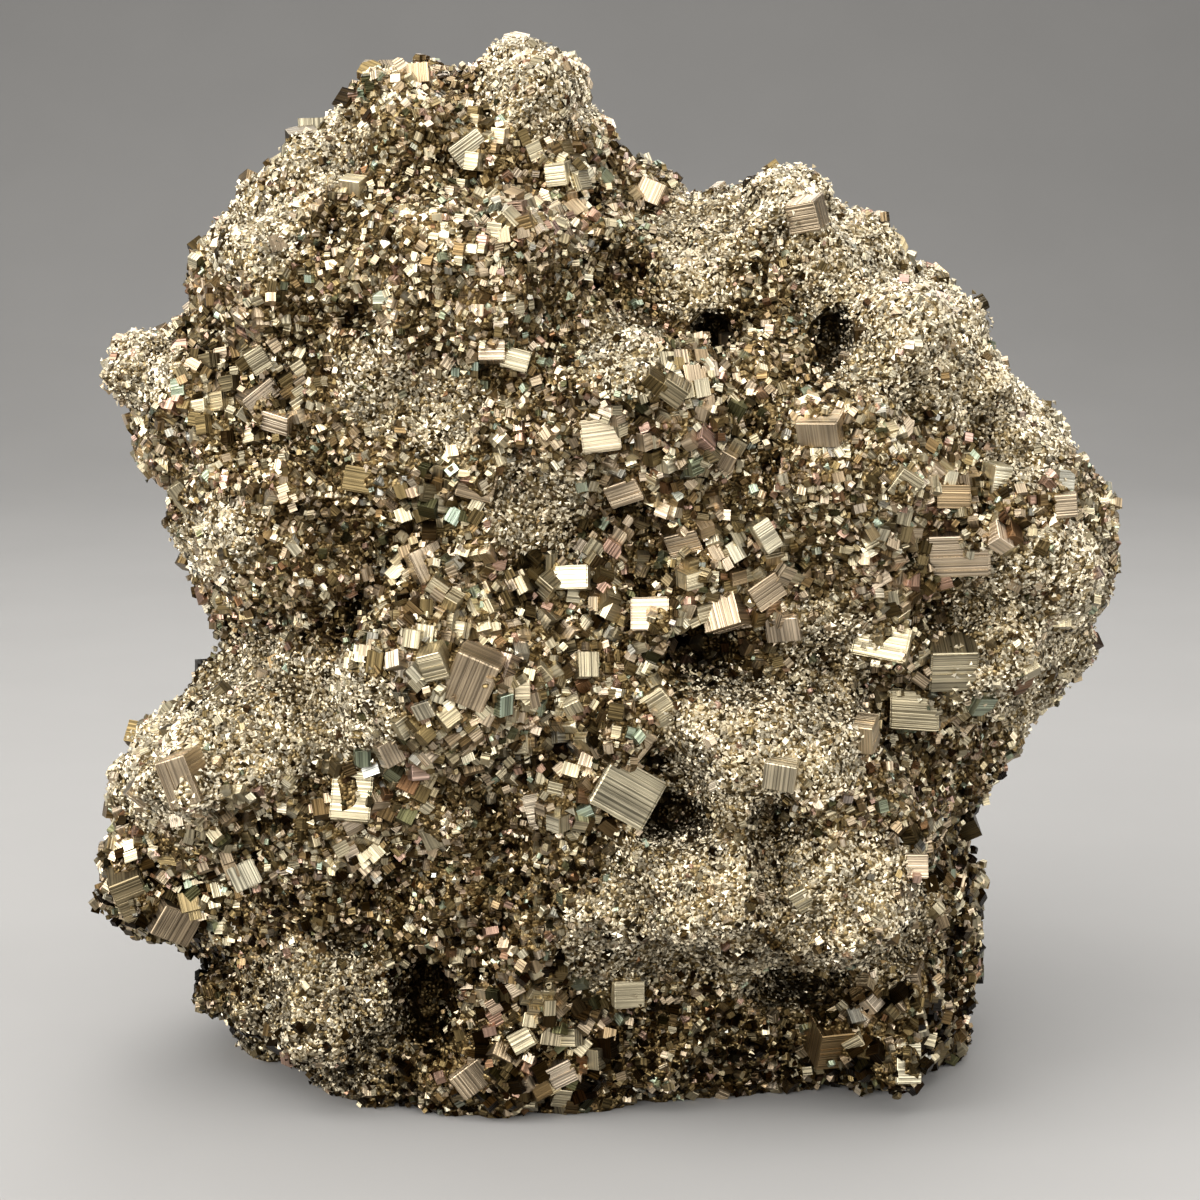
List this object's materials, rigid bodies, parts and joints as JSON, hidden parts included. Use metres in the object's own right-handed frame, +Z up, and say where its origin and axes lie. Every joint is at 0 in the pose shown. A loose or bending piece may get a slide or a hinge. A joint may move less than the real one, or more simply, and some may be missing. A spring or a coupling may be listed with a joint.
{
  "type": "pyrite crystal cluster",
  "caption": "Hand-sized cluster of brassy pyrite cubes grown together in one lobed mass with knobs, ledges and pits, standing on a flat foot.",
  "frame": {"origin": "middle of the bounding box in plan, on the resting plane", "axes": "+Z up as it stands, +Y from the crystal-rich front to the back, +X to the right of the front"},
  "size_m": [0.1422, 0.0828, 0.1403],
  "materials": {
    "pyrite": "natural crystal faces with a metallic lustre, pale brass yellow"
  },
  "bodies": {
    "root": {"pyrite_cluster": "pyrite"}
  },
  "joints": []
}
